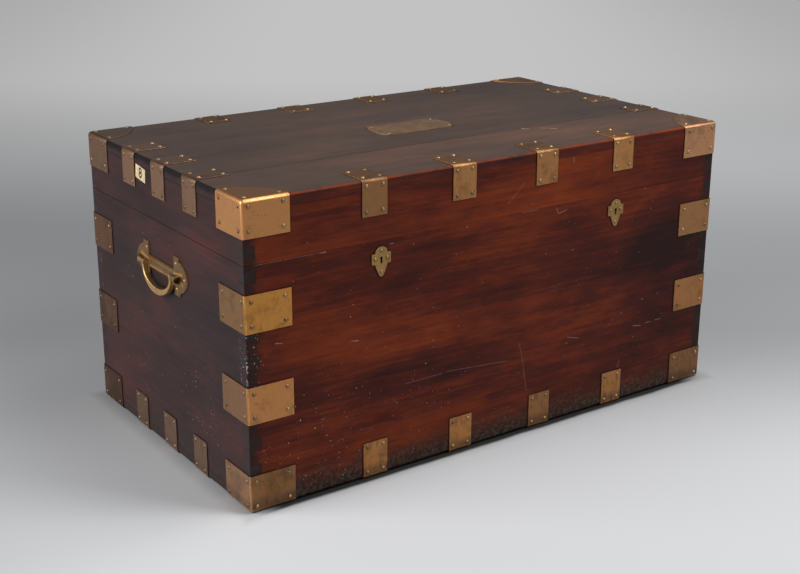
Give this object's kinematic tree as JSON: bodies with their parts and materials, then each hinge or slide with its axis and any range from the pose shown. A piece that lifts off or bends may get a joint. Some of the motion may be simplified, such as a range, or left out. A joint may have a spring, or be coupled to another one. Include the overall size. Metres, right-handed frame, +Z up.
{
  "type": "brass-bound chest",
  "caption": "Deep dovetailed wooden chest with a hinged lid, brass corner pieces and edge straps, chest locks and drop handles on its ends.",
  "frame": {"origin": "middle of the rectangle that the chest stands on, at the underside of the brass under its corners", "axes": "+X along the length, to the right as seen from the front with the keyholes; +Y from the front to the hinges; +Z up"},
  "size_m": [0.9452, 0.5355, 0.4719],
  "materials": {
    "binding_brass": "aged, rubbed, spotted",
    "escutcheon_brass": "aged, rubbed",
    "handle_brass": "dull, darkened in the recesses",
    "hinge_brass": "aged",
    "hinge_pin_steel": "dull",
    "lock_brass": "plain, dull",
    "mahogany_bottom": "bare, darkened",
    "mahogany_top": "worn dark grey-brown polish",
    "mahogany_walls": "worn dark red-brown polish",
    "pin_brass": "rubbed bright on the heads",
    "plate_brass": "aged, rubbed",
    "screw_brass": "aged",
    "tag_card": "matt ivory"
  },
  "bodies": {
    "base": {"base_back_board": "mahogany_walls", "base_binding_pins": "pin_brass", "base_fitting_screws": "screw_brass", "base_front_board": "mahogany_walls", "base_left_board": "mahogany_walls", "base_right_board": "mahogany_walls", "bottom_front_board": "mahogany_bottom", "bottom_rear_board": "mahogany_bottom", "corner_angle_back_left_1": "binding_brass", "corner_angle_back_left_2": "binding_brass", "corner_angle_back_right_1": "binding_brass", "corner_angle_back_right_2": "binding_brass", "corner_angle_front_left_1": "binding_brass", "corner_angle_front_left_2": "binding_brass", "corner_angle_front_right_1": "binding_brass", "corner_angle_front_right_2": "binding_brass", "escutcheon_pins": "pin_brass", "foot_cap_back_left": "binding_brass", "foot_cap_back_right": "binding_brass", "foot_cap_front_left": "binding_brass", "foot_cap_front_right": "binding_brass", "foot_end_straps": "binding_brass", "foot_long_straps": "binding_brass", "handle_pins": "pin_brass", "left_escutcheon": "escutcheon_brass", "left_handle_plate": "handle_brass", "left_hinge_base_leaf": "hinge_brass", "left_hinge_pin": "hinge_pin_steel", "left_lock_case": "lock_brass", "right_escutcheon": "escutcheon_brass", "right_handle_plate": "handle_brass", "right_hinge_base_leaf": "hinge_brass", "right_hinge_pin": "hinge_pin_steel", "right_lock_case": "lock_brass"},
    "lid": {"left_hinge_lid_leaf": "hinge_brass", "left_lock_link": "lock_brass", "lid_back_rail": "mahogany_walls", "lid_binding_pins": "pin_brass", "lid_cap_back_left": "binding_brass", "lid_cap_back_right": "binding_brass", "lid_cap_front_left": "binding_brass", "lid_cap_front_right": "binding_brass", "lid_end_straps": "binding_brass", "lid_fitting_screws": "screw_brass", "lid_front_rail": "mahogany_walls", "lid_left_rail": "mahogany_walls", "lid_long_straps": "binding_brass", "lid_plate": "plate_brass", "lid_plate_pins": "pin_brass", "lid_right_rail": "mahogany_walls", "lid_top_front_board": "mahogany_top", "lid_top_rear_board": "mahogany_top", "number_tag": "tag_card", "right_hinge_lid_leaf": "hinge_brass", "right_lock_link": "lock_brass"},
    "left_bail": {"left_handle_bail": "handle_brass"},
    "right_bail": {"right_handle_bail": "handle_brass"},
    "left_bolt": {"left_lock_bolt": "lock_brass"},
    "right_bolt": {"right_lock_bolt": "lock_brass"}
  },
  "joints": [
    {"name": "lid_hinge", "type": "hinge", "parent": "base", "child": "lid", "pos_m": [0, 0.2664, 0.37565], "axis": [-1, 0, 0], "range_deg": [0, 100]},
    {"name": "left_bail_swing", "type": "hinge", "parent": "base", "child": "left_bail", "pos_m": [-0.4661, 0, 0.3034], "axis": [0, 1, 0], "range_deg": [0, 80]},
    {"name": "right_bail_swing", "type": "hinge", "parent": "base", "child": "right_bail", "pos_m": [0.4661, 0, 0.3034], "axis": [0, -1, 0], "range_deg": [0, 80]},
    {"name": "left_bolt_slide", "type": "slide", "parent": "base", "child": "left_bolt", "axis": [1, 0, 0], "range_m": [0, 0.008]},
    {"name": "right_bolt_slide", "type": "slide", "parent": "base", "child": "right_bolt", "axis": [1, 0, 0], "range_m": [0, 0.008]}
  ]
}
